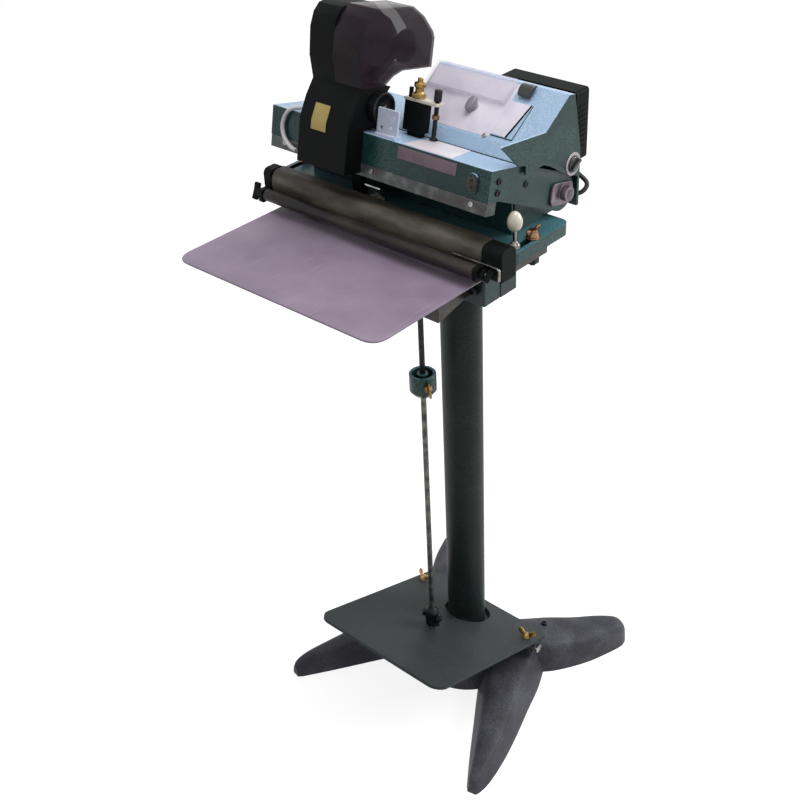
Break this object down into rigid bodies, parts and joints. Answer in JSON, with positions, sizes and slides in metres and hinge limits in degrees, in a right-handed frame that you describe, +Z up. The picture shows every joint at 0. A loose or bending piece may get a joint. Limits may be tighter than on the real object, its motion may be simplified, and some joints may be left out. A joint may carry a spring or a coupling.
{
  "type": "foot pedal sealer",
  "caption": "Foot-operated impulse sealer with a hot-stamp coder on its upper arm, a work table, and a pull rod down to a pedal on a cast four-legged stand.",
  "frame": {"origin": "middle of the footprint, at the floor", "axes": "+Z up, operator at -Y facing +Y, +X to the right of the operator"},
  "size_m": [0.4049, 0.5466, 1.1226],
  "materials": {
    "cast_grey": "hammered paint",
    "teal": "hammered paint",
    "taupe": "hammered paint",
    "lavender": "satin",
    "pale_blue": "satin",
    "aluminium": "satin",
    "bright_steel": "satin",
    "dark_steel": "blackened",
    "brass": "satin",
    "red_brass": "satin",
    "transformer_iron": "varnished",
    "silicone": "matte",
    "release_cloth": "satin",
    "black_plastic": "matte",
    "coder_black": "matte",
    "cream_plastic": "gloss",
    "clear_acrylic": "clear",
    "smoky_acrylic": "smoky",
    "white_sleeve": "matte",
    "cable_rubber": "matte"
  },
  "bodies": {
    "stand": {"base_casting": "cast_grey", "column_tube": "cast_grey", "column_bolt": "red_brass", "guide_bracket": "taupe", "saddle_front": "teal", "saddle_rear": "teal", "base_plate": "teal", "table_frame": "taupe", "work_table": "lavender", "table_wing_bolt_left": "brass", "table_wing_bolt_right": "brass", "jaw_bar": "aluminium", "silicone_strip": "silicone", "ptfe_cloth": "release_cloth", "jaw_cap_left": "black_plastic", "jaw_cap_right": "black_plastic", "cloth_clip": "bright_steel", "housing_side_left": "teal", "housing_side_right": "teal", "housing_cover": "teal", "hood": "teal", "control_box": "black_plastic", "rear_cable": "cable_rubber", "transformer": "transformer_iron", "limit_switch": "black_plastic", "bag_stop": "bright_steel"},
    "arm": {"arm_side_left": "teal", "arm_side_right": "teal", "arm_beam": "teal", "heater_bar": "aluminium", "pivot_shaft": "dark_steel", "crank_lever": "dark_steel", "coder_body": "coder_black", "coder_guard": "smoky_acrylic", "relay_block": "black_plastic", "brass_fitting": "brass", "coder_bracket": "pale_blue", "white_lead": "white_sleeve"},
    "supply_reel": {"supply_reel": "black_plastic"},
    "take_up_reel": {"take_up_reel": "black_plastic"},
    "knurled_wheel": {"knurled_wheel": "dark_steel"},
    "adjusting_screw": {"adjusting_screw": "dark_steel"},
    "pull_rod": {"pull_rod_upper": "dark_steel", "pull_rod_lower": "bright_steel", "rod_coupling": "teal", "coupling_wing_screw": "brass", "return_spring": "bright_steel"},
    "pedal": {"pedal_plate": "cast_grey", "pedal_yoke": "dark_steel", "pedal_wing_nut_left": "brass", "pedal_wing_nut_right": "brass"},
    "pedal_shaft": {"pedal_shaft": "bright_steel"},
    "cloth_roller": {"cloth_roller": "release_cloth", "roller_knob_left": "black_plastic", "roller_knob_right": "black_plastic"},
    "clear_cover": {"clear_cover": "clear_acrylic"},
    "panel_knob": {"panel_knob": "black_plastic"},
    "power_rocker": {"power_rocker": "black_plastic"},
    "timer_dial": {"timer_dial": "black_plastic"},
    "release_lever": {"release_lever": "cream_plastic"}
  },
  "joints": [
    {"name": "arm_close", "type": "hinge", "parent": "stand", "child": "arm", "pos_m": [0, 0.05527, 0.908], "axis": [1, 0, 0], "range_deg": [0, 12.5]},
    {"name": "rod_pull", "type": "slide", "parent": "stand", "child": "pull_rod", "axis": [0, 0, -1], "range_m": [0, 0.0149], "stiffness_N_per_m": 2000, "springref_m": -0.02, "deforming": ["return_spring"]},
    {"name": "pedal_press", "type": "hinge", "parent": "stand", "child": "pedal", "pos_m": [0, 0.10726, 0.06], "axis": [1, 0, 0], "range_deg": [0, 6.4]},
    {"name": "pedal_shaft_turn", "type": "hinge", "parent": "stand", "child": "pedal_shaft", "pos_m": [0, 0.10726, 0.06], "axis": [1, 0, 0], "continuous": true},
    {"name": "cloth_roller_turn", "type": "hinge", "parent": "stand", "child": "cloth_roller", "pos_m": [0, -0.10773, 0.8686], "axis": [1, 0, 0], "continuous": true},
    {"name": "clear_cover_lift", "type": "hinge", "parent": "stand", "child": "clear_cover", "pos_m": [0, 0.0584, 1.02927], "axis": [-1, 0, 0], "range_deg": [0, 95]},
    {"name": "panel_knob_turn", "type": "hinge", "parent": "stand", "child": "panel_knob", "pos_m": [0.069, 0.01977, 1.00267], "axis": [0, -0.567, 0.8237], "range_deg": [0, 290]},
    {"name": "power_rocker_tilt", "type": "hinge", "parent": "stand", "child": "power_rocker", "pos_m": [0.129, 0.05013, 1.02357], "axis": [1, 0, 0], "range_deg": [-10, 10]},
    {"name": "timer_dial_turn", "type": "hinge", "parent": "stand", "child": "timer_dial", "pos_m": [0.181, 0.07026, 0.94], "axis": [1, 0, 0], "range_deg": [0, 290]},
    {"name": "release_lever_turn", "type": "hinge", "parent": "stand", "child": "release_lever", "pos_m": [0.189, -0.05373, 0.881], "axis": [0, 0, 1], "range_deg": [-90, 90]},
    {"name": "supply_reel_turn", "type": "hinge", "parent": "arm", "child": "supply_reel", "pos_m": [0, -0.04255, 1.08128], "axis": [1, 0, 0], "continuous": true},
    {"name": "take_up_reel_turn", "type": "hinge", "parent": "arm", "child": "take_up_reel", "pos_m": [0, 0.00649, 1.06221], "axis": [1, 0, 0], "continuous": true},
    {"name": "knurled_wheel_turn", "type": "hinge", "parent": "arm", "child": "knurled_wheel", "pos_m": [0, -0.05401, 1.00649], "axis": [1, 0, 0], "continuous": true},
    {"name": "adjusting_screw_turn", "type": "hinge", "parent": "arm", "child": "adjusting_screw", "pos_m": [0.051, -0.03317, 0.97575], "axis": [0, 0.2164, 0.9763], "continuous": true}
  ],
  "couplings": [
    {"joint": "rod_pull", "follows": "arm_close", "m_per_rad": 0.06784},
    {"joint": "pedal_press", "follows": "arm_close", "ratio": 0.5},
    {"joint": "take_up_reel_turn", "follows": "supply_reel_turn", "ratio": 2}
  ]
}
